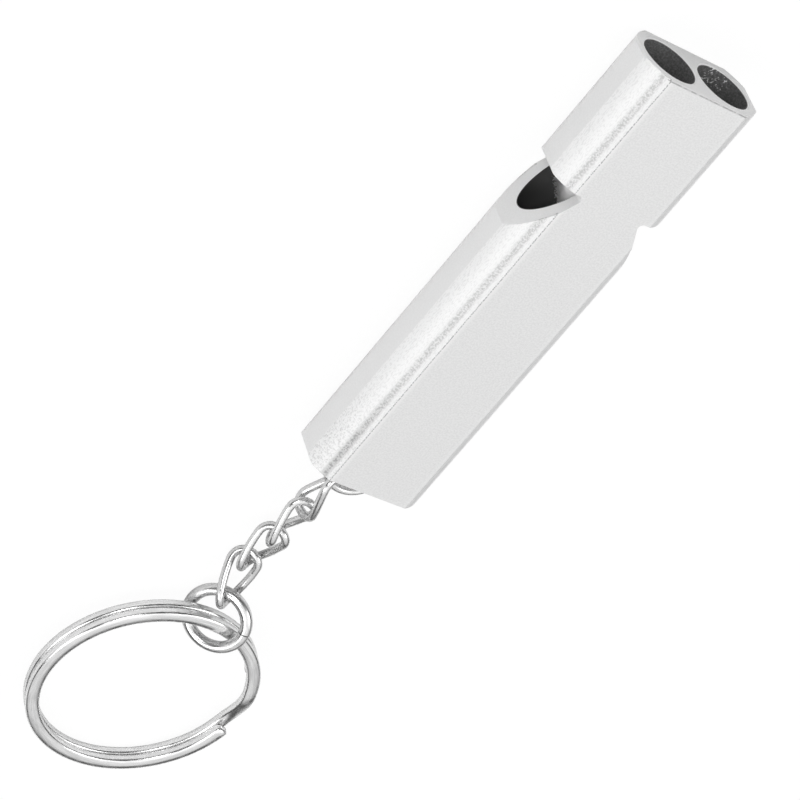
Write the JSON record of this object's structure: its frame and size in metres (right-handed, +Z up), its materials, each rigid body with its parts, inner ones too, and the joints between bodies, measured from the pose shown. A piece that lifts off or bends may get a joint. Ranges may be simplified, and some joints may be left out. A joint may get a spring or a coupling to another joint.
{
  "type": "survival whistle",
  "caption": "Flat metal survival whistle with side-by-side bores and side sound windows, on a short twisted-link chain with a jump ring and a flat split key ring.",
  "frame": {"origin": "middle of the whistle body's wide face that lies on the table", "axes": "+X across the body's width, +Y along the body towards the mouth, +Z up from the table; the chain and rings run along -Y"},
  "size_m": [0.025, 0.104, 0.0079],
  "materials": {
    "blasted_body": "fine blasted, matte",
    "turned_plug": "turned, satin",
    "plated_wire": "bright nickel plate",
    "plated_ring": "bright nickel plate"
  },
  "bodies": {
    "whistle": {"whistle_body": "blasted_body", "windway_plug_left": "turned_plug", "windway_plug_right": "turned_plug", "end_bail": "plated_wire"},
    "link_1": {"chain_link_1": "plated_wire"},
    "link_2": {"chain_link_2": "plated_wire"},
    "link_3": {"chain_link_3": "plated_wire"},
    "link_4": {"chain_link_4": "plated_wire"},
    "jump": {"jump_ring": "plated_wire"},
    "split": {"split_ring": "plated_ring"}
  },
  "joints": [
    {"name": "bail_to_link_1", "type": "hinge", "parent": "whistle", "child": "link_1", "pos_m": [-0.00153, -0.03026, 0.00395], "axis": [0.8746, -0.4848, 0], "range_deg": [-40, 45]},
    {"name": "link_1_to_link_2", "type": "hinge", "parent": "link_1", "child": "link_2", "pos_m": [-0.00133, -0.03541, 0.003], "axis": [0.4914, -0.1797, 0.8522], "range_deg": [-25, 35]},
    {"name": "link_2_to_link_3", "type": "hinge", "parent": "link_2", "child": "link_3", "pos_m": [-0.00138, -0.04057, 0.0023], "axis": [0.3113, 0.1269, -0.9418], "range_deg": [-35, 25]},
    {"name": "link_3_to_link_4", "type": "hinge", "parent": "link_3", "child": "link_4", "pos_m": [-0.00089, -0.04561, 0.00113], "axis": [0.6647, 0.1395, -0.734], "range_deg": [-35, 30]},
    {"name": "link_4_to_jump_ring", "type": "hinge", "parent": "link_4", "child": "jump", "pos_m": [-0.00091, -0.05013, 0.00267], "axis": [0.653, -0.1772, -0.7364], "range_deg": [-35, 40]},
    {"name": "jump_ring_to_split_ring", "type": "hinge", "parent": "jump", "child": "split", "pos_m": [0.00038, -0.05247, 0.00316], "axis": [0.9897, -0.1432, -0.009], "range_deg": [-25, 40]}
  ]
}
